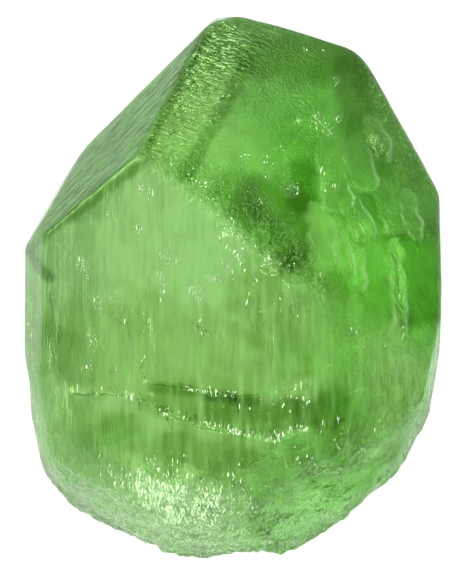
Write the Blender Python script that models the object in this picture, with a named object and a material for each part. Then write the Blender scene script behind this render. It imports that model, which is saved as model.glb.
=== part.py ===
# A loose peridot crystal lying on its flat back: one solid with growth faces, a broken ledge,
# growth plates, cross ledges and a rough broken base. +X runs across the crystal, +Y along its
# length towards the pointed end, and +Z up, out of its large front face. The origin is on the
# surface it lies on, below the middle of its box.
import math

import bmesh
import bpy
import numpy as np
from mathutils import Vector, noise

MM = 0.001

# Driving dimensions, in millimetres
HEART = Vector((0.0, 0.0, 5.2))
BLOCK = 40.0
GRAIN = 0.575
EDGE_ROUNDING = 0.07
FLAT_ANGLE = math.radians(0.5)

# Each flat face: compass direction of its outward normal from +X, tilt of the normal above the
# horizontal, both in degrees, and the distance from the heart to the face
FACES = {
    "front": (-108.5, 88.2, 5.10),
    "left_dome": (131.0, 25.0, 7.61),
    "ripple_dome": (72.5, 51.5, 6.29),
    "narrow_dome": (54.5, 52.0, 5.63),
    "crown": (48.5, 51.5, 5.45),
    "right_dome": (32.0, 44.0, 5.55),
    "left_band": (180.0, 22.0, 8.28),
    "left_side": (180.0, -3.0, 7.46),
    "left_shoulder": (149.0, 2.0, 7.43),
    "left_notch": (135.0, 0.0, 7.57),
    "apex": (103.0, 6.0, 9.78),
    "top": (76.0, -8.0, 9.70),
    "top_right": (50.0, -6.0, 9.66),
    "right_shoulder": (28.5, -6.0, 8.40),
    "right_side": (0.0, 0.0, 7.60),
    "base_right": (-11.0, 4.0, 7.78),
    "base_corner": (-28.0, 8.0, 8.28),
    "base_slant": (-50.0, 14.0, 8.56),
    "base_low_right": (-64.0, 24.0, 8.14),
    "base_tip": (-91.0, 11.0, 9.06),
    "base_low_left": (-115.0, 10.0, 9.10),
    "base_left": (-139.0, 6.0, 9.38),
    "base_far_left": (-164.0, 3.0, 8.45),
    "frost": (-81.0, 53.0, 7.87),
    "ledge": (50.0, 67.0, 5.43),
    "flank": (-8.0, 65.0, 6.10),
    "rest": (0.0, -90.0, 5.20),
    "back_left": (180.0, -60.0, 7.05),
    "back_dome_left": (140.0, -55.0, 7.47),
    "back_dome_top": (84.0, -55.0, 6.80),
    "back_dome_right": (36.0, -60.0, 5.30),
    "back_right": (-2.0, -64.0, 5.25),
    "back_base_right": (-48.0, -46.0, 7.10),
    "back_base": (-88.0, -56.0, 8.45),
    "back_base_left": (-134.0, -60.0, 8.15),
}
FACE_NAMES = list(FACES)

# Stretches of the upper edges that weathered rounder: middle and reach in plan, extra rounding
SOFT_EDGES = [
    ((4.8, -2.2), 3.4, 0.50),
    ((4.8, -5.2), 3.0, 0.55),
    ((0.6, -6.6), 2.8, 0.40),
    ((-3.4, -6.4), 3.2, 0.55),
    ((-6.2, -4.2), 3.0, 0.50),
]

# Faces that broke instead of growing, and how strongly their surface is lumped
BROKEN_FACES = {
    "ledge": 0.45,
    "flank": 0.25,
    "frost": 1.0,
    "base_low_left": 1.0,
    "base_low_right": 0.8,
    "base_tip": 1.0,
    "base_left": 0.6,
    "base_slant": 0.7,
    "base_corner": 0.5,
    "base_far_left": 0.4,
    "base_right": 0.3,
    "back_base": 0.8,
    "back_base_left": 0.7,
    "back_base_right": 0.7,
}
SHELL_HEIGHT = 0.30
SHELL_SIZE = 1.9
SMALL_SHELL_HEIGHT = 0.08
SMALL_SHELL_SIZE = 1.0
SHELL_WANDER = 0.35
GROWTH_WAVE_HEIGHT = 0.025
GROWTH_WAVE_SIZE = 2.2

# Shell-shaped chips: centre and radius of the ball that bit them out
CHIPS = [
    ((-0.45, 2.30, 10.95), 0.72),
    ((1.35, 1.15, 10.75), 0.75),
    ((2.20, 0.80, 10.60), 0.70),
    ((-4.55, 7.05, 6.40), 0.80),
    ((-3.85, -9.65, 5.60), 1.30),
    ((-5.70, -8.55, 5.40), 0.90),
    ((1.90, -9.75, 4.60), 0.80),
    ((-0.95, -7.60, 10.55), 1.10),
    ((-3.10, -7.40, 10.45), 0.90),
    ((6.90, -6.60, 5.20), 0.80),
]

# Ledges that cross the front face: the route of each in plan, the drop below it, and how far
# below the route the drop dies out
LEDGES = [
    ([(-3.5, -3.15), (-2.0, -3.45), (0.4, -3.75), (2.0, -3.6), (3.6, -3.35)], 0.09, 0.7),
    ([(-6.1, -3.75), (-3.1, -3.95), (-2.5, -4.4), (-1.1, -4.95), (0.3, -5.15), (1.9, -5.35),
      (3.2, -4.95)], 0.16, 1.6),
    ([(-0.1, -6.9), (0.8, -6.3), (2.0, -5.9), (3.2, -5.5)], 0.14, 1.0),
]
LEDGE_BRINK = 0.15

# Growth plates on the right dome: where each plate's spine starts, its rounded lower end, both
# in plan, its half width there and its thickness. Each rises out of the face towards that end.
PLATES = [
    ((3.55, 5.15), (3.80, 3.30), 0.50, 0.14),
    ((4.35, 5.25), (4.75, 4.05), 0.50, 0.12),
    ((4.25, 3.00), (4.75, 2.15), 0.42, 0.14),
    ((5.05, 6.05), (5.50, 5.15), 0.35, 0.10),
    ((3.80, 1.65), (4.05, 0.80), 0.35, 0.12),
    ((4.35, 1.45), (4.50, 0.20), 0.30, 0.12),
    ((4.40, -0.35), (4.50, -1.20), 0.22, 0.10),
    ((5.85, 1.65), (6.10, -1.65), 0.24, 0.14),
    ((6.30, 3.30), (6.60, 2.15), 0.30, 0.10),
    ((5.55, 3.50), (5.80, 2.40), 0.40, 0.12),
    ((3.10, 2.75), (3.25, 1.05), 0.45, 0.10),
    ((5.15, -1.75), (5.35, -2.60), 0.30, 0.08),
]
PLATE_BRINK = 0.12
PLATE_START = 0.25

# A low growth step on the front face, right of a line along the crystal
STEP_TOP = (0.15, 2.1)
STEP_FOOT = (0.55, -1.6)
STEP_DROP = 0.05


def clear_scene():
    for item in list(bpy.data.objects):
        bpy.data.objects.remove(item, do_unlink=True)


def face_normal(name):
    direction, tilt, _ = FACES[name]
    across = math.cos(math.radians(tilt))
    return Vector((
        across * math.cos(math.radians(direction)),
        across * math.sin(math.radians(direction)),
        math.sin(math.radians(tilt)),
    ))


def cut_faces():
    """A block cut down to the crystal's flat faces."""
    body = bmesh.new()
    bmesh.ops.create_cube(body, size=BLOCK)
    bmesh.ops.translate(body, verts=body.verts, vec=HEART)
    for name in FACE_NAMES:
        normal = face_normal(name)
        geometry = body.verts[:] + body.edges[:] + body.faces[:]
        cut = bmesh.ops.bisect_plane(
            body,
            geom=geometry,
            dist=1e-4,
            plane_co=HEART + normal * FACES[name][2],
            plane_no=normal,
            clear_outer=True,
        )
        rim = [item for item in cut["geom_cut"] if isinstance(item, bmesh.types.BMEdge)]
        if rim:
            bmesh.ops.contextual_create(body, geom=rim)
    bmesh.ops.remove_doubles(body, verts=body.verts, dist=1e-3)
    bmesh.ops.recalc_face_normals(body, faces=body.faces)
    return body


def is_flat(edge):
    return edge.calc_face_angle(0.0) < FLAT_ANGLE


def even_out(body, grain, rounds):
    """Divide the flat faces into small triangles of an even size, keeping every sharp edge."""
    bmesh.ops.triangulate(body, faces=body.faces[:])
    for _ in range(rounds):
        long_edges = [edge for edge in body.edges if edge.calc_length() > 1.35 * grain]
        if long_edges:
            bmesh.ops.subdivide_edges(body, edges=long_edges, cuts=1)
            bmesh.ops.triangulate(body, faces=body.faces[:])
            bmesh.ops.dissolve_degenerate(body, dist=1e-3, edges=body.edges[:])
            bmesh.ops.triangulate(body, faces=body.faces[:])
        flat_edges = [edge for edge in body.edges if is_flat(edge)]
        bmesh.ops.beautify_fill(body, faces=body.faces[:], edges=flat_edges, method="ANGLE")
        inner = [vert for vert in body.verts if all(is_flat(edge) for edge in vert.link_edges)]
        bmesh.ops.smooth_vert(
            body, verts=inner, factor=0.5, use_axis_x=True, use_axis_y=True, use_axis_z=True
        )


def smooth_step(value):
    value = np.clip(value, 0.0, 1.0)
    return value * value * (3.0 - 2.0 * value)


def route_distance(points, route):
    """Distance in plan from each point to a route, and how far each lies above it in +Y."""
    nearest = np.full(len(points), np.inf)
    above = np.zeros(len(points))
    for start, end in zip(route[:-1], route[1:]):
        start = np.array(start)
        run = np.array(end) - start
        share = np.clip((points - start) @ run / (run @ run), 0.0, 1.0)
        gap = points - start - share[:, None] * run
        distance = np.hypot(gap[:, 0], gap[:, 1])
        closer = distance < nearest
        nearest[closer] = distance[closer]
        above[closer] = gap[closer, 1]
    return nearest, above


def face_shares(points):
    """How much each face owns each point, from 0 to 1, with the edges between them rounded."""
    normals = np.array([face_normal(name) for name in FACE_NAMES])
    reach = np.array([FACES[name][2] for name in FACE_NAMES])
    outside = (points - np.array(HEART)) @ normals.T - reach
    rounding = np.full(len(points), EDGE_ROUNDING)
    for middle, extent, extra in SOFT_EDGES:
        away = np.linalg.norm(points[:, :2] - np.array(middle), axis=1) / extent
        upper = smooth_step((points[:, 2] - 5.0) / 2.0)
        rounding = np.maximum(rounding, extra * (1.0 - smooth_step(away)) * upper)
    weights = np.exp(outside / rounding[:, None])
    total = weights.sum(axis=1)
    shares = weights / total[:, None]
    lean = shares @ normals
    lean /= np.linalg.norm(lean, axis=1)[:, None]
    return shares, lean, rounding * np.log(total)


def lumps(points, size):
    """Three octaves of smooth noise."""
    heights = np.zeros(len(points))
    for octave in range(3):
        scale = 2.0 ** octave / size
        heights += [noise.noise(Vector(point) * scale) / 2.0 ** octave for point in points]
    return heights


def shells(points, size):
    """Round-bottomed hollows that meet in rims, as on a broken surface."""
    heights = []
    for point in points:
        place = Vector(point) / size
        place += noise.noise_vector(place * 1.7) * SHELL_WANDER
        heights.append(noise.voronoi(place)[0][0] ** 2 - 0.25)
    return np.array(heights)


def share_of(shares, names):
    return sum(shares[:, FACE_NAMES.index(name)] for name in names)


def relief(points, shares):
    """Height of the surface over the flat faces."""
    plan = points[:, :2]
    broken = sum(shares[:, FACE_NAMES.index(name)] * BROKEN_FACES[name] for name in BROKEN_FACES)
    height = broken * SHELL_HEIGHT * shells(points, SHELL_SIZE)
    height += broken * SMALL_SHELL_HEIGHT * shells(points, SMALL_SHELL_SIZE)
    height += (1.0 - broken) * GROWTH_WAVE_HEIGHT * lumps(points, GROWTH_WAVE_SIZE)

    front = share_of(shares, ["front", "frost"])
    for route, drop, reach in LEDGES:
        distance, above = route_distance(plan, route)
        below = smooth_step(-above / LEDGE_BRINK) * (1.0 - smooth_step(distance / reach))
        height -= front * drop * below

    run = np.array(STEP_FOOT) - np.array(STEP_TOP)
    beside = ((plan[:, 0] - STEP_TOP[0]) * -run[1] + (plan[:, 1] - STEP_TOP[1]) * run[0])
    beside /= np.linalg.norm(run)
    along = smooth_step((plan[:, 1] - STEP_FOOT[1]) / 1.5)
    height -= front * STEP_DROP * smooth_step(beside / LEDGE_BRINK) * along

    dome = share_of(shares, ["right_dome", "crown"])
    for top, foot, half_width, thickness in PLATES:
        distance, _ = route_distance(plan, [top, foot])
        run = np.array(foot) - np.array(top)
        along = np.clip((plan - np.array(top)) @ run / (run @ run), 0.0, 1.0)
        rise = thickness * (PLATE_START + (1.0 - PLATE_START) * along)
        height += dome * rise * smooth_step((half_width - distance) / PLATE_BRINK + 0.5)
    return height


def bite(points, lean, centre, radius):
    """Push the points inside a ball straight in, as far as the ball's inner side."""
    offset = points - np.array(centre)
    along = np.einsum("ij,ij->i", offset, lean)
    inside = radius ** 2 - np.einsum("ij,ij->i", offset, offset)
    depth = along + np.sqrt(np.maximum(along ** 2 + inside, 0.0))
    depth = np.where(inside > 0.0, depth, 0.0)
    return points - lean * depth[:, None]


def box_middle(points):
    """Middle of the points' box in plan."""
    middle = (points.min(axis=0) + points.max(axis=0)) / 2.0
    return Vector((middle[0], middle[1], 0.0))


def shape_surface(body):
    """Round the edges and raise the relief, leaving the face it lies on flat."""
    points = np.array([vert.co for vert in body.verts])
    on_rest = points[:, 2] < 1e-3
    near_rest = smooth_step(points[:, 2] / 0.6)

    shares, lean, excess = face_shares(points)
    moved = points - lean * (excess * near_rest)[:, None]
    moved += lean * (relief(points, shares) * near_rest)[:, None]
    for centre, radius in CHIPS:
        moved = bite(moved, lean, centre, radius)
    moved[on_rest] = points[on_rest]
    middle = box_middle(moved)
    for vert, place in zip(body.verts, moved):
        vert.co = Vector(place) - middle


def peridot_material():
    material = bpy.data.materials.new("Peridot")
    material.use_nodes = True
    shader = material.node_tree.nodes["Principled BSDF"]
    shader.inputs["Base Color"].default_value = (0.21, 0.45, 0.11, 1.0)
    shader.inputs["Roughness"].default_value = 0.25
    shader.inputs["Metallic"].default_value = 0.0
    shader.inputs["IOR"].default_value = 1.67
    return material


def add_crystal():
    body = cut_faces()
    even_out(body, GRAIN, rounds=9)
    shape_surface(body)
    bmesh.ops.scale(body, verts=body.verts, vec=(MM, MM, MM))
    bmesh.ops.recalc_face_normals(body, faces=body.faces)
    mesh = bpy.data.meshes.new("peridot_crystal")
    body.to_mesh(mesh)
    body.free()
    mesh.materials.append(peridot_material())
    crystal = bpy.data.objects.new("peridot_crystal", mesh)
    bpy.context.scene.collection.objects.link(crystal)


clear_scene()
add_crystal()
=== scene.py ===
# Looks of a loose peridot crystal that lies on its flat back: a finer crystal mesh cut to the same
# faces as the imported solid with painted light and shade in its colour, healed cracks and painted
# glints in its skin, a lit floor, soft lights and the camera.
import math

import bmesh
import bpy
import numpy as np
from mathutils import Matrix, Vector, noise
from mathutils.bvhtree import BVHTree


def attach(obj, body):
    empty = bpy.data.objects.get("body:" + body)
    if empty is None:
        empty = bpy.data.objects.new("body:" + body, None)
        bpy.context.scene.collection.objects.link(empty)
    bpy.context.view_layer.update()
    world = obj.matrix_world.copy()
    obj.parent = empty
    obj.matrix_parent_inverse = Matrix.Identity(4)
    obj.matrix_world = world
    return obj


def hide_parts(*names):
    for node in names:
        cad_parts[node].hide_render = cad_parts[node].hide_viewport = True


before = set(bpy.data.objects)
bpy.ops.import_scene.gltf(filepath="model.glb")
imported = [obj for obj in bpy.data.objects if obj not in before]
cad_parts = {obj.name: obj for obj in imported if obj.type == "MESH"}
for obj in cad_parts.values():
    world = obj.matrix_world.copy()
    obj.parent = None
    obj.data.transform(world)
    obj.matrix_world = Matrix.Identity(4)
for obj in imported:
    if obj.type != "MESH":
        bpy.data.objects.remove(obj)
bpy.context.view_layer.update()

mm = 0.001
print("frame loaded")

# Photograph: 462 x 576 pixels, looking straight down on the crystal
photo = {
    "width": 462,
    "height": 576,
    "centreX": 234,        # pixel that stands over the heart of the crystal
    "centreY": 290,
    "crystalPixels": 544,  # from the domed point to the broken base
    "crystalMm": 20.0,
}
pixelMm = photo["crystalMm"] / photo["crystalPixels"]


def fromPhoto(x, y):  # a pixel of the photograph as a place in plan, in mm
    return ((x - photo["centreX"]) * pixelMm, (photo["centreY"] - y) * pixelMm)


def toLinear(hexColour):  # sRGB hex to linear RGBA
    channels = [int(hexColour[place:place + 2], 16) / 255 for place in (0, 2, 4)]
    linear = [c / 12.92 if c <= 0.04045 else ((c + 0.055) / 1.055) ** 2.4 for c in channels]
    return (*linear, 1.0)


def addNode(tree, kind, settings=None, links=None):
    node = tree.nodes.new(kind)
    for name, value in (settings or {}).items():
        if name in node.inputs:
            node.inputs[name].default_value = value
        else:
            setattr(node, name, value)
    for name, source in (links or {}).items():
        tree.links.new(source, node.inputs[name])
    return node


# The crystal: a block cut to its faces, then finely divided and given its relief

crystal = {
    "heart": (0.0, 0.0, 5.2),   # mm, the point that the faces are measured from
    "block": 40.0,
    "frontGrain": 0.45,         # mm, triangles on the side that the photograph shows
    "sideGrain": 0.60,
    "backGrain": 0.85,
    "sideTilt": 0.3,            # faces whose normal rises more than this count as the front
    "rounds": 9,                # rounds of evening out the triangles
    "longEdge": 1.35,           # edges longer than this times the grain are cut
    "splits": 3,                # each edge is then cut this many times
    "flatDegrees": 0.5,         # triangles that meet flatter than this lie on one face
    "sameFace": 0.9999,         # a triangle with this cosine to a face's normal lies on that face
    "levelTilt": 0.9,
    "cutGap": 1e-4,             # mm, corners nearer to a cut than this lie on it
    "weld": 1e-3,               # mm, corners nearer than this are one
    "edgeRounding": 0.06,
    # edges that weathered rounder than the rest: middle and reach in plan, and the extra rounding
    "softEdges": [
        ((4.8, -2.2), 3.4, 0.50), ((4.8, -5.2), 3.0, 0.55), ((0.6, -6.6), 2.8, 0.40),
        ((-3.4, -6.4), 3.2, 0.55), ((-6.2, -4.2), 3.0, 0.50),
    ],
    "softFrom": (5.0, 2.0),     # mm, the height where this starts, and over how much it grows
    # direction of the outward normal in plan, anticlockwise from +X, its tilt above the
    # horizontal, both in degrees, and the distance from the heart in mm
    "faces": {
        "front": (-108.5, 88.2, 5.10),
        "leftDome": (131.0, 25.0, 7.61),
        "rippleDome": (72.5, 51.5, 6.29),
        "narrowDome": (54.5, 52.0, 5.63),
        "crown": (48.5, 51.5, 5.45),
        "rightDome": (32.0, 44.0, 5.55),
        "leftBand": (180.0, 22.0, 8.28),
        "leftSide": (180.0, -3.0, 7.46),
        "leftShoulder": (149.0, 2.0, 7.43),
        "leftNotch": (135.0, 0.0, 7.57),
        "apex": (103.0, 6.0, 9.78),
        "top": (76.0, -8.0, 9.70),
        "topRight": (50.0, -6.0, 9.66),
        "rightShoulder": (28.5, -6.0, 8.40),
        "rightSide": (0.0, 0.0, 7.60),
        "baseRight": (-11.0, 4.0, 7.78),
        "baseCorner": (-28.0, 8.0, 8.28),
        "baseSlant": (-50.0, 14.0, 8.56),
        "baseLowRight": (-64.0, 24.0, 8.14),
        "baseTip": (-91.0, 11.0, 9.06),
        "baseLowLeft": (-115.0, 10.0, 9.10),
        "baseLeft": (-139.0, 6.0, 9.38),
        "baseFarLeft": (-164.0, 3.0, 8.45),
        "frost": (-81.0, 53.0, 7.87),
        "rest": (0.0, -90.0, 5.20),
        "ledge": (50.0, 67.0, 5.43),
        "flank": (-8.0, 65.0, 6.10),
        "backLeft": (180.0, -60.0, 7.05),
        "backDomeLeft": (140.0, -55.0, 7.47),
        "backDomeTop": (84.0, -55.0, 6.80),
        "backDomeRight": (36.0, -60.0, 5.30),
        "backRight": (-2.0, -64.0, 5.25),
        "backBaseRight": (-48.0, -46.0, 7.10),
        "backBase": (-88.0, -56.0, 8.45),
        "backBaseLeft": (-134.0, -60.0, 8.15),
    },
}
faceNames = list(crystal["faces"])
heart = Vector(crystal["heart"])

relief = {
    # faces that broke instead of growing, and how strongly each is lumped
    "broken": {
        "ledge": 0.45, "flank": 0.25, "frost": 1.0, "baseLowLeft": 1.0, "baseLowRight": 0.8,
        "baseTip": 1.0, "baseLeft": 0.6, "baseSlant": 0.7, "baseCorner": 0.5,
        "baseFarLeft": 0.4, "baseRight": 0.3, "backBase": 0.8, "backBaseLeft": 0.7,
        "backBaseRight": 0.7,
    },
    "leastShare": 0.02,         # a face shapes only points that it owns more of than this
    "restFade": 0.6,            # mm over which the relief grows upward from the rest face
    "sideFade": 4.0,            # how quickly what the photograph shows fades where faces turn aside
    "shellHeight": 0.30,        # shell-shaped hollows of the breaks, mm
    "shellSize": 1.9,
    "smallShellHeight": 0.11,   # smaller ones on them
    "smallShellSize": 0.8,
    "shellWander": 0.35,        # how bent the hollows' rims are, and how quickly they bend
    "shellBend": 1.7,
    "shellLevel": 0.25,         # taken off, so the hollows neither raise nor lower the face
    "splinterHeight": 0.09,     # fine splinters along the crystal
    "splinterSize": 0.30,
    "waveHeight": 0.025,        # slow swell of the grown faces
    "waveSize": 2.2,
    # single chips: centre and radius of the ball that bit each out
    "chips": [
        ((-0.45, 2.30, 10.95), 0.72), ((-4.55, 7.05, 6.40), 0.80), ((-3.85, -9.65, 5.60), 1.30),
        ((-5.70, -8.55, 5.40), 0.90), ((1.90, -9.75, 4.60), 0.80), ((-0.95, -7.60, 10.55), 1.10),
        ((-3.10, -7.40, 10.45), 0.90), ((6.90, -6.60, 5.20), 0.80), ((1.35, 1.15, 10.75), 0.75),
        ((2.20, 0.80, 10.60), 0.70),
    ],
    # ledges across the front: route in plan, lip above it, drop below it and how far the drop lasts
    "ledges": [
        ([(-3.6, -3.05), (-2.9, -3.35), (-2.0, -3.45), (-0.8, -3.72), (0.4, -3.75), (2.0, -3.6),
          (3.6, -3.35)], 0.04, 0.14, 0.8),
        ([(-6.1, -3.75), (-4.6, -3.70), (-3.1, -3.95), (-2.5, -4.4), (-1.1, -4.95), (0.3, -5.15),
          (1.5, -5.40), (2.3, -5.05), (3.4, -4.95)], 0.06, 0.18, 1.6),
        ([(-0.1, -6.9), (0.8, -6.3), (2.0, -5.9), (3.2, -5.5)], 0.04, 0.16, 1.0),
    ],
    "ledgeBrink": 0.10,
    "ledgeNear": 0.22,          # triangles nearer to a route than this are split finer
    "ledgeStray": 0.07,         # how far ledges and plates stray from their lines, and its size
    "ledgeStraySize": 0.5,
    "ledgeEnd": 0.8,            # length over which a ledge fades at each end
    "lipWidth": 0.25,
    # growth plates on the right dome: start of the spine, rounded lower end, half width and
    # thickness there
    "plates": [
        ((3.55, 5.15), (3.80, 3.30), 0.50, 0.14), ((4.35, 5.25), (4.75, 4.05), 0.50, 0.12),
        ((4.25, 3.00), (4.75, 2.15), 0.42, 0.14), ((5.05, 6.05), (5.50, 5.15), 0.35, 0.10),
        ((3.80, 1.65), (4.05, 0.80), 0.35, 0.12), ((4.35, 1.45), (4.50, 0.20), 0.30, 0.12),
        ((4.40, -0.35), (4.50, -1.20), 0.22, 0.10), ((5.85, 1.65), (6.10, -1.65), 0.24, 0.14),
        ((6.30, 3.30), (6.60, 2.15), 0.30, 0.10), ((5.55, 3.50), (5.80, 2.40), 0.40, 0.12),
        ((3.10, 2.75), (3.25, 1.05), 0.45, 0.10), ((5.15, -1.75), (5.35, -2.60), 0.30, 0.08),
    ],
    "plateBrink": 0.20,
    "plateStart": 0.25,         # share of its thickness that a plate has at the top of its spine
    "plateStrength": 0.8,
    "plateStray": 0.16,         # how ragged the plates' outlines are, and its size
    "plateStraySize": 0.45,
    "striaHeight": 0.016,       # growth striae along the front, and how wide and long they are
    "striaSize": (0.30, 4.0, 4.0),
    "stepTop": (0.15, 2.1),     # a low growth step on the front, right of this line
    "stepFoot": (0.55, -1.6),
    "stepDrop": 0.05,
    "stepEnd": 1.5,             # length over which the step fades at its foot
    # clusters of deep etch pits on the crown: middle in photo pixels and reach
    "sparkles": [
        ((243, 171), 7), ((267, 174), 8), ((284, 163), 4), ((298, 122), 6), ((316, 120), 10),
        ((327, 130), 8), ((338, 80), 6), ((338, 118), 6), ((251, 190), 10), ((290, 190), 12),
        ((268, 205), 9), ((300, 105), 4), ((372, 140), 8), ((388, 158), 5), ((305, 50), 3),
        ((324, 51), 3), ((219, 228), 9), ((243, 238), 9), ((270, 262), 7), ((284, 262), 12),
    ],
    "patchCore": 0.4,           # share of a patch's reach where it has its full strength
    # frosted spots at the base, in the same way
    "frosting": [((150, 500), 34), ((185, 516), 46), ((225, 522), 40), ((245, 510), 24)],
    "ripplePitch": 0.20,        # etch ripples on the domed strip
    "rippleHeight": 0.036,
    "rippleAlong": (0.97, -0.22, 0.0),
    "rippleSway": 0.20,         # mm that their lines wander, and how quickly, broadly and finely
    "rippleBends": (1.3, 3.0),
    "rippleMean": 0.6,          # their mean strength, how much it varies, how quickly and its limits
    "rippleVaries": 0.8,
    "ripplePatches": (1.1, 2.0),
    "rippleLimits": (0.1, 1.2),
}


def faceNormal(name):
    direction, tilt, _ = crystal["faces"][name]
    across = math.cos(math.radians(tilt))
    return Vector((
        across * math.cos(math.radians(direction)),
        across * math.sin(math.radians(direction)),
        math.sin(math.radians(tilt)),
    ))


def cutFaces():
    body = bmesh.new()
    bmesh.ops.create_cube(body, size=crystal["block"])
    bmesh.ops.translate(body, verts=body.verts, vec=heart)
    for name in faceNames:
        normal = faceNormal(name)
        cut = bmesh.ops.bisect_plane(
            body, geom=body.verts[:] + body.edges[:] + body.faces[:], dist=crystal["cutGap"],
            plane_co=heart + normal * crystal["faces"][name][2], plane_no=normal,
            clear_outer=True,
        )
        rim = [item for item in cut["geom_cut"] if isinstance(item, bmesh.types.BMEdge)]
        if rim:
            bmesh.ops.contextual_create(body, geom=rim)
    bmesh.ops.remove_doubles(body, verts=body.verts, dist=crystal["weld"])
    bmesh.ops.recalc_face_normals(body, faces=body.faces)
    return body


def isFlat(edge):
    return edge.calc_face_angle(0.0) < math.radians(crystal["flatDegrees"])


def grainAt(edge):  # finer where the photograph looks
    facing = max(face.normal.z for face in edge.link_faces)
    if facing > crystal["sideTilt"]:
        return crystal["frontGrain"]
    return crystal["sideGrain"] if facing > -crystal["sideTilt"] else crystal["backGrain"]


def evenOut(body, rounds):
    bmesh.ops.triangulate(body, faces=body.faces[:])
    for _ in range(rounds):
        longEdges = [
            edge for edge in body.edges
            if edge.calc_length() > crystal["longEdge"] * grainAt(edge)
        ]
        if longEdges:
            bmesh.ops.subdivide_edges(body, edges=longEdges, cuts=1)
            bmesh.ops.triangulate(body, faces=body.faces[:])
            bmesh.ops.dissolve_degenerate(body, dist=crystal["weld"], edges=body.edges[:])
            bmesh.ops.triangulate(body, faces=body.faces[:])
        flatEdges = [edge for edge in body.edges if isFlat(edge)]
        bmesh.ops.beautify_fill(body, faces=body.faces[:], edges=flatEdges, method="ANGLE")
        inner = [vert for vert in body.verts if all(isFlat(edge) for edge in vert.link_edges)]
        bmesh.ops.smooth_vert(
            body, verts=inner, factor=0.5, use_axis_x=True, use_axis_y=True, use_axis_z=True
        )


def splitWhere(body, chosen):
    edges = list({edge for face in body.faces if chosen(face) for edge in face.edges})
    bmesh.ops.subdivide_edges(body, edges=edges, cuts=1, use_grid_fill=True)
    bmesh.ops.triangulate(body, faces=body.faces[:])


def isOn(face, name):
    return face.normal.dot(faceNormal(name)) > crystal["sameFace"]


def isRippled(face):
    return isOn(face, "rippleDome")


def isLedged(face):  # near a ledge's route or on the broken ledge
    if isOn(face, "ledge"):
        return True
    if face.normal.z < crystal["levelTilt"]:
        return False
    spot = np.array([face.calc_center_median()[:2]])
    return any(
        routeDistance(spot, ledge[0])[0][0] < relief["ledgeNear"] for ledge in relief["ledges"]
    )


def splitAgain(body):
    bmesh.ops.subdivide_edges(
        body, edges=body.edges[:], cuts=crystal["splits"], use_grid_fill=True
    )
    bmesh.ops.triangulate(body, faces=body.faces[:])
    splitWhere(body, isRippled)
    splitWhere(body, isLedged)


def smoothStep(value):
    value = np.clip(value, 0.0, 1.0)
    return value * value * (3.0 - 2.0 * value)


def routeDistance(points, route):  # distance to the route, and how far above it in plan
    nearest = np.full(len(points), np.inf)
    above = np.zeros(len(points))
    for start, end in zip(route[:-1], route[1:]):
        start = np.array(start)
        run = np.array(end) - start
        share = np.clip((points - start) @ run / (run @ run), 0.0, 1.0)
        gap = points - start - share[:, None] * run
        distance = np.hypot(gap[:, 0], gap[:, 1])
        closer = distance < nearest
        nearest[closer] = distance[closer]
        above[closer] = gap[closer, 1]
    return nearest, above


def faceShares(points):  # how much each face owns each point, with rounded edges between
    normals = np.array([faceNormal(name) for name in faceNames])
    reach = np.array([crystal["faces"][name][2] for name in faceNames])
    outside = (points - np.array(heart)) @ normals.T - reach
    rounding = np.full(len(points), crystal["edgeRounding"])
    softBase, softOver = crystal["softFrom"]
    for middle, extent, extra in crystal["softEdges"]:
        away = np.linalg.norm(points[:, :2] - np.array(middle), axis=1) / extent
        upper = smoothStep((points[:, 2] - softBase) / softOver)
        rounding = np.maximum(rounding, extra * (1.0 - smoothStep(away)) * upper)
    weights = np.exp(outside / rounding[:, None])
    total = weights.sum(axis=1)
    shares = weights / total[:, None]
    lean = shares @ normals
    lean /= np.linalg.norm(lean, axis=1)[:, None]
    return shares, lean, rounding * np.log(total)


def lumps(points, size, octaves=3):  # size is one number or one for each axis
    heights = np.zeros(len(points))
    for octave in range(octaves):
        scale = 2.0 ** octave / np.array(size)
        heights += [noise.noise(Vector(point * scale)) / 2.0 ** octave for point in points]
    return heights


def shells(points, size):  # round-bottomed hollows that meet in sharp rims
    heights = []
    for point in points:
        place = Vector(point) / size
        place += noise.noise_vector(place * relief["shellBend"]) * relief["shellWander"]
        heights.append(noise.voronoi(place)[0][0] ** 2 - relief["shellLevel"])
    return np.array(heights)


def shareOf(shares, names):
    return sum(shares[:, faceNames.index(name)] for name in names)


def ripples(points):  # wavy etch ripples that run nearly level across the strip
    pitch = relief["ripplePitch"]
    along = Vector(relief["rippleAlong"])
    up = faceNormal("rippleDome").cross(along).normalized()
    across = points @ np.array(up)
    beside = points @ np.array(along)
    broad, fine = relief["rippleBends"]
    sway = np.array([
        noise.noise(Vector((x * broad, y * broad, 0.0)))
        + 0.5 * noise.noise(Vector((x * fine, y * fine, 7.0)))
        for x, y in zip(beside, across)
    ])
    wave = np.sin((across + relief["rippleSway"] * sway) * 2 * math.pi / pitch)
    level, steep = relief["ripplePatches"]
    strength = np.array([
        relief["rippleMean"]
        + relief["rippleVaries"] * noise.noise(Vector((x * level, y * steep, 3.0)))
        for x, y in zip(beside, across)
    ])
    return wave * np.clip(strength, *relief["rippleLimits"])


def raggedness(points):  # how far the plates' outlines stray, in plan
    sways = [noise.noise_vector(Vector(point) / relief["plateStraySize"]) for point in points]
    return relief["plateStray"] * np.array(sways)[:, :2]


def plateRise(plan, top, foot, halfWidth, thickness, wander):
    distance, _ = routeDistance(plan, [top, foot])
    run = np.array(foot) - np.array(top)
    along = np.clip((plan - np.array(top)) @ run / (run @ run), 0.0, 1.0)
    rise = thickness * (relief["plateStart"] + (1.0 - relief["plateStart"]) * along)
    return rise * smoothStep((halfWidth + wander - distance) / relief["plateBrink"] + 0.5)


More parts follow.
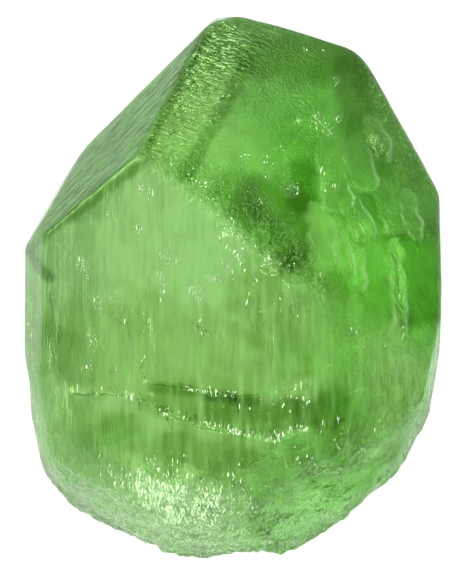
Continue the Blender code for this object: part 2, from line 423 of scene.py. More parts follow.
def surfaceHeight(points, shares):
    plan = points[:, :2]
    broken = sum(
        shares[:, faceNames.index(name)] * amount for name, amount in relief["broken"].items()
    )
    height = (1.0 - broken) * relief["waveHeight"] * lumps(points, relief["waveSize"])
    rough = broken > relief["leastShare"]
    breaks = relief["shellHeight"] * shells(points[rough], relief["shellSize"])
    breaks += relief["smallShellHeight"] * shells(points[rough], relief["smallShellSize"])
    splinter = relief["splinterSize"]
    breaks += relief["splinterHeight"] * lumps(points[rough], (splinter, 3 * splinter, splinter))
    height[rough] += broken[rough] * breaks

    front = shareOf(shares, ["front", "frost"])
    wander = relief["ledgeStray"] * lumps(points, relief["ledgeStraySize"])
    for route, lip, drop, reach in relief["ledges"]:
        distance, above = routeDistance(plan, route)
        below = smoothStep((wander - above) / relief["ledgeBrink"])
        ending = smoothStep((plan[:, 0] - route[0][0]) / relief["ledgeEnd"])
        ending *= smoothStep((route[-1][0] - plan[:, 0]) / relief["ledgeEnd"])
        height -= front * ending * drop * below * (1.0 - smoothStep(distance / reach))
        crest = np.exp(-(distance / relief["lipWidth"]) ** 2)
        height += front * ending * lip * (1.0 - below) * crest

    stepTop = relief["stepTop"]
    stepFoot = relief["stepFoot"]
    run = np.array(stepFoot) - np.array(stepTop)
    beside = (plan[:, 0] - stepTop[0]) * -run[1] + (plan[:, 1] - stepTop[1]) * run[0]
    beside /= np.linalg.norm(run)
    along = smoothStep((plan[:, 1] - stepFoot[1]) / relief["stepEnd"])
    height -= front * relief["stepDrop"] * smoothStep(beside / relief["ledgeBrink"]) * along

    lengthwise = shareOf(shares, ["front", "leftBand", "leftSide", "rightSide", "leftShoulder"])
    grown = lengthwise > relief["leastShare"]
    striae = lumps(points[grown], relief["striaSize"], 2)
    height[grown] += lengthwise[grown] * relief["striaHeight"] * striae

    dome = shareOf(shares, ["rightDome", "crown"])
    onDome = dome > relief["leastShare"]
    ragged = raggedness(points)
    for top, foot, halfWidth, thickness in relief["plates"]:
        height[onDome] += relief["plateStrength"] * dome[onDome] * plateRise(
            plan[onDome] + ragged[onDome], top, foot, halfWidth, thickness, wander[onDome]
        )

    strip = shareOf(shares, ["rippleDome"])
    onStrip = strip > relief["leastShare"]
    height[onStrip] += strip[onStrip] * relief["rippleHeight"] * ripples(points[onStrip])
    return height


def upperSide(lean):  # 1 on what faces up, down to 0 where it turns to the side
    return smoothStep(lean[:, 2] * relief["sideFade"])


def patchAmount(points, lean, patches):
    core = relief["patchCore"]
    amount = np.zeros(len(points))
    for spot, reach in patches:
        distance = np.linalg.norm(points[:, :2] - np.array(fromPhoto(*spot)), axis=1) / pixelMm
        fading = smoothStep((distance - core * reach) / ((1.0 - core) * reach))
        amount = np.maximum(amount, 1.0 - fading)
    return amount * upperSide(lean)


def bite(points, lean, centre, radius):  # push what a ball bites out straight in
    offset = points - np.array(centre)
    along = np.einsum("ij,ij->i", offset, lean)
    inside = radius ** 2 - np.einsum("ij,ij->i", offset, offset)
    depth = along + np.sqrt(np.maximum(along ** 2 + inside, 0.0))
    depth = np.where(inside > 0.0, depth, 0.0)
    return points - lean * depth[:, None]


# The photograph's green is deeper in some parts and paler in others. The unevenness is colour of
# the skin here, set one by one. Each patch: colour at its middle, its route in photo pixels, how far
# it reaches and how softly it ends.
# Much of this colour is painted light and shade. The faces' tints make whole faces darker or paler
# for how the light falls through and off them, the patches marked below are painted shade, and the
# mottle is uneven tone of the green.
tonesAndPaintedLight = {
    # painted light: the paler colour of the growth plates
    "plate": "C4E88C",
    "plateShare": 0.5,
    "plateEdge": 0.25,          # mm over which the plates' painted light fades
    "streaks": 0.8,             # how much the patches break into streaks on the front, and their size
    "streakMm": (0.20, 1.8, 1.8),
    "stray": 0.25,              # mm that the rims of a patch stray when its softness is 20 pixels
    "strayMm": 0.7,
    "strayPixels": 20,
    "mottle": 0.35,             # uneven depth of the green, and how much calmer the front is
    "frontCalm": 0.15,
    "mottleMm": 0.8,
    "mottleLimits": (0.5, 1.2),
    # painted light and shade: a tint for each face, darker or paler for how the light falls through
    # and off it
    "faces": {
        "leftDome": "5C9C3C", "leftShoulder": "7CA45C", "rightDome": "94C860", "crown": "90E058",
        "leftBand": "D4E8C0", "narrowDome": "B4E088", "topRight": "88B058",
        "rippleDome": "C4DC94", "ledge": "8CC05C", "rightSide": "789454",
    },
    "patches": [
        ("C6D4A0", [(90, 350), (150, 345), (235, 360)], 26, 50),    # deeper green down the middle
        ("CCDAA8", [(200, 425), (330, 420)], 26, 50),
        ("A6BA7A", [(290, 300), (350, 330), (370, 400)], 34, 50),
        ("6C8838", [(262, 200), (288, 215), (296, 240)], 16, 24),   # painted shade in the crown's hollow
        ("88A84C", [(303, 176), (300, 200)], 8, 14),
        ("88A85C", [(30, 250), (92, 204), (150, 160)], 2, 6),       # painted shade along the left dome's edges
        ("7C9C50", [(146, 156), (178, 88), (206, 38)], 2, 6),
        ("94B468", [(186, 176), (218, 120), (246, 66)], 4, 7),
        ("7CA44C", [(262, 56), (300, 58), (336, 58)], 12, 26),
        ("A4C87C", [(232, 185), (262, 232)], 10, 14),
        ("A4BC80", [(155, 385), (200, 391)], 2, 6),                 # painted shade below the upper ledge
        ("94B06C", [(205, 395), (240, 400), (258, 399)], 1, 5),
        ("94B470", [(212, 404), (250, 411), (300, 410), (332, 402)], 8, 14),
        ("B4CC90", [(160, 398), (250, 418), (345, 410)], 8, 20),
        ("A8C084", [(150, 440), (205, 452), (240, 452)], 8, 16),
        ("BCD498", [(75, 418), (120, 426)], 8, 22),
        ("74906C", [(33, 253), (42, 268), (53, 278)], 3, 4),        # dark hook at the left
        ("A0BC80", [(232, 466), (262, 478), (300, 462)], 12, 20),   # painted shade below the lower ledge
        ("9CBC7C", [(262, 522), (278, 500)], 10, 12),
        ("C4D8A8", [(60, 335), (58, 360)], 8, 18),
        ("A8C480", [(350, 70), (356, 110), (372, 165)], 12, 14),
        ("A0C478", [(378, 205), (386, 228)], 14, 14),
        ("789C50", [(415, 245), (418, 300)], 20, 18),
        ("BCD49C", [(120, 440), (165, 455)], 14, 24),
        ("ACC488", [(345, 440), (330, 470)], 14, 24),
        ("D0DEB4", [(300, 490), (370, 475)], 14, 24),
    ],
}


def platePaintedLight(points, colours, dome):  # painted light: the growth plates are coloured paler than the dome round them, for their lit interiors
    pale = np.array(toLinear(tonesAndPaintedLight["plate"])[:3])
    plan = points[:, :2] + raggedness(points)
    for top, foot, halfWidth, _ in relief["plates"]:
        distance, _ = routeDistance(plan, [top, foot])
        amount = dome * smoothStep((halfWidth - distance) / tonesAndPaintedLight["plateEdge"] + 0.5)
        colours += tonesAndPaintedLight["plateShare"] * amount[:, None] * (pale - colours)


def mixTonesAndPaintedLight(points, lean, shares):  # one linear colour for each point: tone of the green with painted light and shade
    plain = np.array(toLinear(peridot["skin"])[:3])
    colours = np.tile(plain, (len(points), 1))
    for name, colour in tonesAndPaintedLight["faces"].items():
        amount = shares[:, faceNames.index(name)][:, None]
        colours += amount * (np.array(toLinear(colour)[:3]) - plain)
    upper = upperSide(lean)
    front = shareOf(shares, ["front", "flank"])
    streaks = 1.0 + tonesAndPaintedLight["streaks"] * front * lumps(points, tonesAndPaintedLight["streakMm"], 2)
    wander = tonesAndPaintedLight["stray"] * lumps(points, tonesAndPaintedLight["strayMm"], 2)
    for colour, route, reach, softness in tonesAndPaintedLight["patches"]:
        plan = [fromPhoto(x, y) for x, y in route]
        distance, _ = routeDistance(points[:, :2], plan)
        beyond = distance + wander * softness / tonesAndPaintedLight["strayPixels"] - reach * pixelMm
        amount = 1.0 - smoothStep(beyond / (softness * pixelMm))
        amount = np.clip(amount * upper * streaks, 0.0, 1.0)[:, None]
        colours += amount * (np.array(toLinear(colour)[:3]) * colours / plain - colours)
    platePaintedLight(points, colours, shareOf(shares, ["rightDome", "crown"]) * upper)
    strength = tonesAndPaintedLight["mottle"] - tonesAndPaintedLight["frontCalm"] * front
    mottled = 1.0 + strength * lumps(points, tonesAndPaintedLight["mottleMm"]) * upper
    colours *= np.clip(mottled, *tonesAndPaintedLight["mottleLimits"])[:, None]
    return np.clip(colours, 0.0, 1.0)


# How deep each fine pattern is in each zone of the skin, in mm, and what dulls or polishes it
etch = {
    "striae": {"front": 0.035, "broken": 0.10, "side": 0.05},
    "slantStriae": {"leftDome": 0.06},
    "ripples": {"strip": 0.32},
    "pits": {
        "crown": 0.018, "narrow": 0.08, "broken": 0.05, "ledge": 0.10, "side": 0.03,
        "sparkle": 0.14, "back": 0.05,
    },
    "flakes": {"broken": 0.14, "ledge": 0.20},
    "flankShare": 0.15,         # how broken the flank counts as
    "satin": 0.16,
    "dulled": {"broken": 0.06, "frost": 0.32, "edge": 0.20, "strip": -0.08},
    "backSatin": 0.34,
    "backFade": 8.0,            # how quickly the back's satin ends where faces turn aside
    # painted shade in the striae's grooves, as much as it may be: everywhere, on faces along the
    # crystal and on broken ones
    "paintedStriaeShade": (0.15, 0.85, 0.5),
    "unevenMean": 0.6,          # striae are deeper in some places: mean, variation, size and limits
    "unevenVaries": 1.1,
    "unevenMm": (1.2, 2.6, 2.6),
    "unevenLimits": (0.1, 1.3),
}


def etching(points, lean, shares):  # depth of each pattern, roughness and shade at each point
    uneven = etch["unevenMean"] + etch["unevenVaries"] * lumps(points, etch["unevenMm"], 2)
    uneven = np.clip(uneven, *etch["unevenLimits"])
    lengthwise = shareOf(shares, ["front", "flank", "leftBand", "leftSide", "rightSide"])
    broken = shareOf(shares, [name for name in relief["broken"] if name != "flank"])
    back = smoothStep(-lean[:, 2] * etch["backFade"])
    zones = {
        "front": shareOf(shares, ["front"]) * uneven,
        "side": shareOf(shares, [
            "leftSide", "leftShoulder", "leftNotch", "apex", "top", "topRight", "rightShoulder",
            "rightSide", "leftBand",
        ]),
        "leftDome": shareOf(shares, ["leftDome"]),
        "strip": shareOf(shares, ["rippleDome"]),
        "narrow": shareOf(shares, ["narrowDome"]),
        "crown": shareOf(shares, ["crown", "rightDome"]),
        "ledge": shareOf(shares, ["ledge"]),
        "broken": broken + etch["flankShare"] * shareOf(shares, ["flank"]),
        "frost": patchAmount(points, lean, relief["frosting"]),
        "sparkle": patchAmount(points, lean, relief["sparkles"]),
        # 1 where two faces share a point evenly, 0 where one owns it
        "edge": np.clip(2.0 - 2.0 * (shares ** 2).sum(axis=1), 0.0, 1.0),
        "back": back,
    }
    layers = {
        pattern + "Depth": sum(zones[name] * depth for name, depth in etch[pattern].items())
        for pattern in ("striae", "slantStriae", "ripples", "pits", "flakes")
    }
    front = etch["satin"] + sum(zones[name] * more for name, more in etch["dulled"].items())
    layers["dullness"] = np.maximum(front, back * etch["backSatin"])
    everywhere, onLong, onBroken = etch["paintedStriaeShade"]
    paintedStriaeShade = everywhere + (onLong * lengthwise + onBroken * broken) * uneven
    layers["paintedStriaeShade"] = np.clip(paintedStriaeShade, 0.0, 1.0)
    layers["paintedSlantShade"] = zones["leftDome"]
    layers["broken"] = zones["broken"]
    return layers


def makeCrystal():
    body = cutFaces()
    evenOut(body, crystal["rounds"])
    splitAgain(body)
    points = np.array([vert.co for vert in body.verts])
    onRest = points[:, 2] < crystal["weld"]
    nearRest = smoothStep(points[:, 2] / relief["restFade"])
    shares, lean, excess = faceShares(points)
    moved = points - lean * (excess * nearRest)[:, None]
    moved += lean * (surfaceHeight(points, shares) * nearRest)[:, None]
    for centre, radius in relief["chips"]:
        moved = bite(moved, lean, centre, radius)
    moved[onRest] = points[onRest]
    middle = (moved.min(axis=0) + moved.max(axis=0)) / 2
    middle[2] = 0.0
    for vert, place in zip(body.verts, moved):
        vert.co = Vector(place - middle) * mm
    bmesh.ops.recalc_face_normals(body, faces=body.faces)
    mesh = bpy.data.meshes.new("peridotCrystal")
    body.to_mesh(mesh)
    body.free()
    mesh.shade_smooth()
    for name, values in etching(points, lean, shares).items():
        layer = mesh.attributes.new(name, "FLOAT", "POINT")
        layer.data.foreach_set("value", values.astype(np.float32))
    # the skin colour: tone of the green with painted light and shade
    hue = mesh.attributes.new("hue", "FLOAT_COLOR", "POINT")
    colours = np.ones((len(moved), 4), np.float32)
    colours[:, :3] = mixTonesAndPaintedLight(points, lean, shares)
    hue.data.foreach_set("color", colours.ravel())
    print("crystal mesh:", len(mesh.polygons), "triangles")
    return mesh, middle


# Peridot: grown and naturally etched, broken at the base. See-through yellow-green with a satin
# skin, so the far side shows only as soft patches of light and dark.
peridot = {
    "ior": 1.67,
    "absorbed": "BCEA92",       # hue left after the light has crossed the crystal
    "absorbDensity": 200.0,     # per metre
    "skin": "FBFFF6",
    # set for looks, with no physical source: tints the light that the skin mirrors, so dark
    # parts stay green
    "sheen": "B4E490",
    # the finest striae and pits are drawn coarser than on the crystal, or they would flicker
    "striaeMm": 0.11,           # spacing of the growth striae on the front
    "striaeLong": 9,            # times longer than wide
    "slantWide": (1.3, 2),      # the left dome's striae across and in depth, times striaeMm
    "slantTurn": -51,           # degrees, along the left dome's long edge
    "rippleMm": 0.17,           # width of the etch ripples on the strip
    "rippleLong": 2.2,
    "rippleTurn": 13,
    "etchMm": 0.12,             # size of the etch pits on the domed faces
    "chipMm": 0.28,             # size of the flakes on the broken base
    "noiseRoughness": 0.65,
    # where in the pattern the striae's painted shade starts and is full, and how much it then darkens
    # the skin
    "striaeShade": (0.60, 0.32, 0.36),
    "slantShade": (0.56, 0.36, 0.75),
}


def zone(tree, name):  # a layer of the mesh as a value
    return addNode(tree, "ShaderNodeAttribute", {"attribute_name": name}).outputs["Fac"]


def combine(tree, operation, first, second):
    node = addNode(tree, "ShaderNodeMath", {"operation": operation})
    for socket, value in zip(node.inputs, (first, second)):
        if isinstance(value, float):
            socket.default_value = value
        else:
            tree.links.new(value, socket)
    return node.outputs["Value"]


def stretchedNoise(tree, place, size, detail, turn=0.0):  # size in mm along each axis
    if turn:
        turned = addNode(
            tree, "ShaderNodeMapping", {"Rotation": (0.0, 0.0, turn)}, {"Vector": place}
        )
        place = turned.outputs["Vector"]
    mapped = addNode(
        tree, "ShaderNodeMapping", {"Scale": tuple(1 / (mm * part) for part in size)},
        {"Vector": place},
    )
    return addNode(
        tree, "ShaderNodeTexNoise",
        {"Scale": 1.0, "Detail": detail, "Roughness": peridot["noiseRoughness"]},
        {"Vector": mapped.outputs["Vector"]},
    ).outputs["Fac"]


def shadeFrom(tree, pattern, start, full, most, layer):  # painted shade, that grows as the pattern falls into the striae's grooves
    shade = addNode(
        tree, "ShaderNodeMapRange",
        {"From Min": start, "From Max": full, "To Min": 0.0, "To Max": most},
        {"Value": pattern},
    )
    return combine(tree, "MULTIPLY", shade.outputs["Result"], zone(tree, layer))


def peridotMaterial():
    material = bpy.data.materials.new("etchedPeridot")
    material.use_nodes = True
    tree = material.node_tree
    tree.nodes.clear()
    place = addNode(tree, "ShaderNodeTexCoord").outputs["Object"]
    striae = peridot["striaeMm"]
    striaeLong = peridot["striaeLong"] * striae
    slantAcross, slantDeep = (part * striae for part in peridot["slantWide"])
    ripple = peridot["rippleMm"]
    patterns = {  # width of each along the crystal's axes, in mm
        "striae": stretchedNoise(tree, place, (striae, striaeLong, striaeLong), 2.0),
        "slantStriae": stretchedNoise(
            tree, place, (striaeLong, slantAcross, slantDeep), 1.0,
            math.radians(peridot["slantTurn"]),
        ),
        "ripples": stretchedNoise(
            tree, place, (peridot["rippleLong"] * ripple, ripple, ripple), 1.0,
            math.radians(peridot["rippleTurn"]),
        ),
        "pits": stretchedNoise(tree, place, (peridot["etchMm"],) * 3, 1.0),
        "flakes": stretchedNoise(tree, place, (peridot["chipMm"],) * 3, 1.0),
    }
    height = 0.0
    for name, pattern in patterns.items():
        centred = combine(tree, "SUBTRACT", pattern, 0.5)
        part = combine(tree, "MULTIPLY", centred, zone(tree, name + "Depth"))
        height = combine(tree, "ADD", part, height)
    bump = addNode(
        tree, "ShaderNodeBump", {"Strength": 1.0, "Distance": mm}, {"Height": height}
    )

    skin = addNode(  # painted shade in the striae's grooves darkens the skin's colour
        tree, "ShaderNodeMix", {"data_type": "RGBA", "blend_type": "MULTIPLY", "Factor": 1.0}
    )
    straight = shadeFrom(tree, patterns["striae"], *peridot["striaeShade"], "paintedStriaeShade")
    slanting = shadeFrom(tree, patterns["slantStriae"], *peridot["slantShade"], "paintedSlantShade")
    paintedShade = combine(tree, "ADD", slanting, straight)
    tree.links.new(
        addNode(tree, "ShaderNodeAttribute", {"attribute_name": "hue"}).outputs["Color"],
        skin.inputs["A"],
    )
    tree.links.new(combine(tree, "SUBTRACT", 1.0, paintedShade), skin.inputs["B"])
    shader = addNode(
        tree, "ShaderNodeBsdfPrincipled",
        {
            "IOR": peridot["ior"], "Transmission Weight": 1.0,
            "Specular Tint": toLinear(peridot["sheen"]),
        },
        {
            "Base Color": skin.outputs["Result"],
            "Roughness": zone(tree, "dullness"),
            "Normal": bump.outputs["Normal"],
        },
    )
    absorption = addNode(
        tree, "ShaderNodeVolumeAbsorption",
        {"Color": toLinear(peridot["absorbed"]), "Density": peridot["absorbDensity"]},
    )
    addNode(
        tree, "ShaderNodeOutputMaterial", None,
        {"Surface": shader.outputs["BSDF"], "Volume": absorption.outputs["Volume"]},
    )
    return material


# Healed cracks: cracks that closed again as the crystal grew, and splinters that the break left
# standing. They show as films of tiny pale specks in the skin or just under it, longest along the
# crystal. The films marked below are painted glints and highlights instead, pale specks where the
# crown, the ledges and the ripple strip catch the light.
flecks = {
    # pale for the healed-crack films and for the painted glints alike
    "colour": "C6E8B2",
    "roughness": 0.6,
    "specular": 0.15,           # low, so that the specks don't show pure white
    "depth": (0.002, 0.060),    # mm below the skin
    "shallow": (-0.002, 0.036),  # the same for specks of a film with a scale of its own
    "length": (0.12, 0.45),
    "width": (0.03, 0.07),
    "lean": 0.25,               # how far they stray from the crystal's length, in radians
    "waist": 0.3,               # how far off its middle a speck may be widest, times its length
    "flatness": 5,
    "brokenFrom": 0.4,          # a face has specks of its own where it is more broken than this
    "lowest": -0.6,             # and its normal rises more than this
    "steepest": 0.2,            # a film's specks lie where the normal rises more than this
    "spread": 0.5,              # how they gather towards a film's route
    "above": 15.0,              # mm, the height from which their places are dropped on the skin
    "allRound": 900,            # specks spread over every broken face
    "seed": 20,
    # each film: route in photo pixels, how far it reaches to each side, its number of specks and,
    # where they are shorter than the rest, their scale
    "films": [
        ([(140, 500), (185, 516), (228, 520)], 38, 3000, 0.9), ([(150, 535), (225, 542)], 16, 260),
        ([(233, 478), (252, 500), (263, 522), (269, 543)], 6, 170),
        ([(110, 470), (190, 482)], 13, 150), ([(140, 466), (144, 470)], 3, 22),
        ([(140, 190), (152, 193)], 5, 16), ([(136, 229), (147, 231)], 3, 9),
        ([(158, 256), (178, 260)], 5, 18), ([(80, 262), (95, 272)], 6, 26),
        ([(100, 298), (135, 318)], 14, 60), ([(92, 334), (100, 346)], 4, 30),
        ([(84, 366), (94, 366)], 3, 12), ([(114, 368), (119, 371)], 3, 9),
        ([(143, 352), (147, 378)], 2, 18), ([(163, 270), (165, 300)], 4, 20),
        ([(193, 287), (200, 305)], 5, 20), ([(205, 277), (240, 280), (268, 281)], 3, 40),
        ([(222, 262), (230, 270)], 3, 10), ([(190, 326), (215, 332)], 9, 30),
        ([(52, 388), (75, 387), (110, 385), (150, 402), (190, 415), (235, 428), (262, 436),
          (285, 428), (320, 420), (345, 418)], 3, 150),
        ([(185, 385), (225, 393), (240, 398)], 4, 46), ([(232, 390), (240, 410)], 2, 14),
        ([(164, 408), (174, 428)], 3, 24), ([(228, 430), (278, 436)], 3, 50),
        # painted highlight: short shallow specks along the lower ledge's bright line
        ([(205, 420), (228, 426), (275, 434), (296, 424), (322, 430)], 2, 130, 0.6),
        ([(290, 395), (300, 420)], 6, 26), ([(270, 385), (310, 382), (335, 380)], 3, 30),
        ([(300, 455), (340, 470)], 12, 90, 0.5), ([(305, 500), (330, 520)], 10, 60, 0.5),
        ([(270, 512), (285, 520)], 5, 26), ([(330, 440), (380, 450)], 16, 80, 0.5),
        ([(300, 538), (360, 498), (400, 458)], 12, 160, 0.5),
        # the second film here is a painted highlight along a light streak on the right
        ([(35, 300), (36, 400), (40, 470)], 6, 70), ([(393, 250), (400, 330)], 4, 60),
        # painted light: paler interiors of two growth plates
        ([(325, 160), (332, 205)], 10, 50), ([(352, 215), (364, 240)], 7, 30),
        # painted glints: clusters on the crown
        ([(243, 157)], 6, 40, 0.3), ([(267, 162)], 7, 50, 0.3), ([(284, 150)], 4, 20, 0.3),
        ([(298, 122)], 4, 16, 0.4), ([(316, 121)], 8, 34, 0.4), ([(327, 132)], 6, 24, 0.4),
        ([(334, 78), (340, 88)], 4, 26, 0.4), ([(336, 116), (340, 126)], 4, 24, 0.5),
        ([(305, 50)], 2, 5, 0.3), ([(324, 51)], 2, 5, 0.3),
        ([(261, 172), (252, 195), (262, 215)], 7, 60, 0.3), ([(290, 185), (300, 196)], 8, 40, 0.3),
        ([(280, 212), (297, 226)], 7, 34, 0.3), ([(372, 140), (392, 158)], 8, 26, 0.4),
        ([(266, 258), (271, 259)], 3, 40, 0.3),
        # painted glints along the broken ledge band
        ([(190, 178), (215, 200), (235, 235), (262, 262), (295, 265)], 9, 260, 0.35),
        ([(220, 240), (233, 252), (245, 270)], 2, 40, 0.5),
        # painted glints on the ripple strip and beside it
        ([(186, 176), (214, 122), (240, 70)], 8, 90, 0.3), ([(215, 50), (165, 150)], 22, 70),
        ([(280, 300), (300, 315)], 14, 50), ([(250, 280), (262, 330)], 10, 34),
        ([(345, 330), (380, 345)], 10, 50, 0.5), ([(250, 398), (330, 402)], 6, 60, 0.5),
    ],
}


def speckAt(place, normal, scale, chance):  # a flattened spindle: six corners, eight faces
    length = scale * chance.uniform(*flecks["length"])
    width = chance.uniform(*flecks["width"])
    depth = chance.uniform(*flecks["depth" if scale == 1.0 else "shallow"])
    along = Vector((chance.normal(0, flecks["lean"]), 1.0, 0.0))
    along = (along - normal * along.dot(normal)).normalized()
    beside = normal.cross(along)
    centre = place - normal * depth
    waist = centre + along * chance.uniform(-flecks["waist"], flecks["waist"]) * length
    return [
        centre + along * length / 2, centre - along * length / 2,
        waist + beside * width / 2, waist + normal * width / flecks["flatness"],
        waist - beside * width / 2, waist - normal * width / flecks["flatness"],
    ]


def makeFlecks(crystalMesh, middle):
    chance = np.random.default_rng(flecks["seed"])
    count = len(crystalMesh.vertices)
    corners = np.empty(count * 3)
    crystalMesh.vertices.foreach_get("co", corners)
    corners = corners.reshape(-1, 3) / mm
    broken = np.empty(count)
    crystalMesh.attributes["broken"].data.foreach_get("value", broken)
    triangles = np.empty(len(crystalMesh.polygons) * 3, np.int32)
    crystalMesh.polygons.foreach_get("vertices", triangles)
    triangles = triangles.reshape(-1, 3)
    a, b, c = (corners[triangles[:, side]] for side in range(3))
    facing = np.cross(b - a, c - a)
    area = np.linalg.norm(facing, axis=1)
    facing /= area[:, None]
    share = area * np.clip(broken[triangles].mean(axis=1) - flecks["brokenFrom"], 0, 1)
    share *= facing[:, 2] > flecks["lowest"]
    picked = chance.choice(len(area), flecks["allRound"], p=share / share.sum())
    spots = [(Vector((a[t] + b[t] + c[t]) / 3), Vector(facing[t]), 1.0) for t in picked]

    tree = BVHTree.FromPolygons(corners.tolist(), triangles.tolist())
    for route, reach, number, *scale in flecks["films"]:
        route = np.array([fromPhoto(x, y) for x, y in route])
        for _ in range(number):
            along = chance.uniform(0, len(route) - 1) if len(route) > 1 else 0.0
            start = min(int(along), max(len(route) - 2, 0))
            end = min(start + 1, len(route) - 1)
            spot = route[start] + (along - start) * (route[end] - route[start])
            stray = chance.normal(0, flecks["spread"], 2) * reach * pixelMm
            spot = spot + stray - middle[:2]
            above = Vector((*spot, flecks["above"]))
            place, normal, _, _ = tree.ray_cast(above, Vector((0, 0, -1)))
            if place and normal.z > flecks["steepest"]:
                spots.append((place, normal, *(scale or [1.0])))

    points = []
    faces = []
    for place, normal, scale in spots:
        first = len(points)
        points += speckAt(place, normal, scale, chance)
        for side in range(4):
            one, two = first + 2 + side, first + 2 + (side + 1) % 4
            faces += [(first, one, two), (first + 1, two, one)]
    mesh = bpy.data.meshes.new("healedCracksAndPaintedGlints")
    mesh.from_pydata([point * mm for point in points], [], faces)
    material = bpy.data.materials.new("crackFilmAndPaintedGlints")
    material.use_nodes = True
    shader = material.node_tree.nodes["Principled BSDF"]
    shader.inputs["Base Color"].default_value = toLinear(flecks["colour"])
    shader.inputs["Roughness"].default_value = flecks["roughness"]
    shader.inputs["Specular IOR Level"].default_value = flecks["specular"]
    mesh.materials.append(material)
    piece = bpy.data.objects.new("healedCracksAndPaintedGlints", mesh)
    bpy.context.scene.collection.objects.link(piece)
    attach(piece, "root")
    print("healed cracks:", len(spots), "specks")


crystalMesh, middle = makeCrystal()
crystalPiece = bpy.data.objects.new("peridotCrystal", crystalMesh)
bpy.context.scene.collection.objects.link(crystalPiece)
crystalMesh.materials.append(peridotMaterial())
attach(crystalPiece, "root")
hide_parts("peridot_crystal")
makeFlecks(crystalMesh, middle)
print("crystal done")

# Studio: a lit opal floor, soft light from above and the camera straight over the crystal

studio = {
    "floorHalf": 1.5,           # m
    "padEdge": 0.016,           # the lit middle of the floor, and where its light has died away
    "padEnd": 0.060,
    "floorDrop": 0.00003,
    "floorColour": "8C8C8A",
    "tableColour": "3C3E3A",
    "floorGlow": 0.84,          # the floor is a sheet of lit opal acrylic
    "floorRoughness": 0.9,
    "floorSpecular": 0.2,
    # the sky's colour at heights from 0, the horizon, to 1, straight overhead
    "sky": [
        (0.10, "30322E"), (1.0, "A8A8A6"), (0.50, "8C8E88"), (0.75, "FFFFFF"), (0.93, "D8D8D6"),
    ],
    "skyStrength": 1.0,
    "cameraHeight": 0.30,
    "sensor": 36.0,
    "clip": (0.01, 10.0),
    # place in m, width in m and power in W
    "softboxes": {
        "keySoftbox": ((-0.16, 0.24, 0.30), 0.14, 1.6),
        "fillSoftbox": ((-0.28, -0.08, 0.27), 0.12, 0.8),
        "sparkLamp": ((0.14, 0.22, 0.24), 0.03, 0.25),
        "lowSoftbox": ((-0.12, -0.30, 0.22), 0.12, 0.6),
        "stripLamp": ((-0.02, 0.36, 0.13), 0.05, 0.42),
    },
}


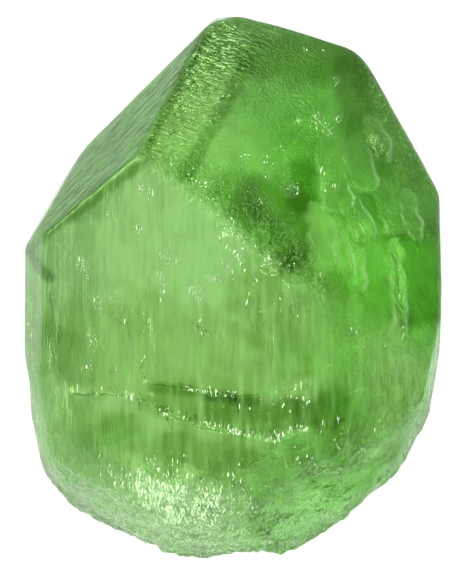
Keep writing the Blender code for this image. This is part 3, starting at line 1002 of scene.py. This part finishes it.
def makeFloor():
    half = studio["floorHalf"]
    drop = -studio["floorDrop"]
    mesh = bpy.data.meshes.new("floor")
    corners = [(-half, -half, drop), (half, -half, drop), (half, half, drop), (-half, half, drop)]
    mesh.from_pydata(corners, [], [(0, 1, 2, 3)])
    floor = bpy.data.objects.new("floor", mesh)
    bpy.context.scene.collection.objects.link(floor)
    material = bpy.data.materials.new("opalAcrylicFloor")
    material.use_nodes = True
    shader = material.node_tree.nodes["Principled BSDF"]
    tree = material.node_tree
    place = addNode(tree, "ShaderNodeTexCoord").outputs["Object"]
    away = addNode(tree, "ShaderNodeVectorMath", {"operation": "LENGTH"}, {0: place})
    fade = addNode(
        tree, "ShaderNodeMapRange",
        {
            "From Min": studio["padEdge"], "From Max": studio["padEnd"],
            "interpolation_type": "SMOOTHSTEP",
        },
        {"Value": away.outputs["Value"]},
    )
    colour = addNode(
        tree, "ShaderNodeMix",
        {
            "data_type": "RGBA", "A": toLinear(studio["floorColour"]),
            "B": toLinear(studio["tableColour"]),
        },
        {"Factor": fade.outputs["Result"]},
    )
    glow = addNode(
        tree, "ShaderNodeMapRange", {"To Min": studio["floorGlow"], "To Max": 0.0},
        {"Value": fade.outputs["Result"]},
    )
    tree.links.new(colour.outputs["Result"], shader.inputs["Base Color"])
    tree.links.new(glow.outputs["Result"], shader.inputs["Emission Strength"])
    shader.inputs["Roughness"].default_value = studio["floorRoughness"]
    shader.inputs["Specular IOR Level"].default_value = studio["floorSpecular"]
    shader.inputs["Emission Color"].default_value = (1.0, 1.0, 1.0, 1.0)
    mesh.materials.append(material)


def makeSky():  # dark near the horizon and dimmed straight overhead
    world = bpy.data.worlds.new("softStudio")
    world.use_nodes = True
    bpy.context.scene.world = world
    tree = world.node_tree
    tree.nodes.clear()
    place = addNode(tree, "ShaderNodeTexCoord").outputs["Generated"]
    height = addNode(tree, "ShaderNodeSeparateXYZ", None, {0: place}).outputs["Z"]
    bands = addNode(tree, "ShaderNodeValToRGB", None, {"Fac": height})
    ramp = bands.color_ramp
    for spot, (where, colour) in enumerate(studio["sky"]):
        stop = ramp.elements[spot] if spot < 2 else ramp.elements.new(where)
        stop.position = where
        stop.color = toLinear(colour)
    light = addNode(
        tree, "ShaderNodeBackground", {"Strength": studio["skyStrength"]},
        {"Color": bands.outputs["Color"]},
    )
    addNode(tree, "ShaderNodeOutputWorld", None, {"Surface": light.outputs["Background"]})


def addSoftbox(name, place, size, power):
    lamp = bpy.data.lights.new(name, "AREA")
    lamp.shape = "DISK"
    lamp.size = size
    lamp.energy = power
    box = bpy.data.objects.new(name, lamp)
    box.location = place
    box.rotation_euler = (-Vector(place)).to_track_quat("-Z", "Y").to_euler()
    bpy.context.scene.collection.objects.link(box)


def makeCamera():
    across = pixelMm * mm
    target = Vector((
        (photo["width"] / 2 - photo["centreX"]) * across - middle[0] * mm,
        (photo["centreY"] - photo["height"] / 2) * across - middle[1] * mm,
        heart.z * mm,
    ))
    lens = bpy.data.cameras.new("camera")
    lens.sensor_width = studio["sensor"]
    lens.lens = studio["sensor"] * studio["cameraHeight"] / (photo["height"] * across)
    lens.clip_start, lens.clip_end = studio["clip"]
    camera = bpy.data.objects.new("camera", lens)
    camera.location = target + Vector((0, 0, studio["cameraHeight"]))
    bpy.context.scene.collection.objects.link(camera)
    bpy.context.scene.camera = camera


makeFloor()
makeSky()
for lampName, (lampPlace, lampSize, lampPower) in studio["softboxes"].items():
    addSoftbox(lampName, lampPlace, lampSize, lampPower)
makeCamera()
bpy.context.scene.view_settings.view_transform = "Standard"
print("studio done")
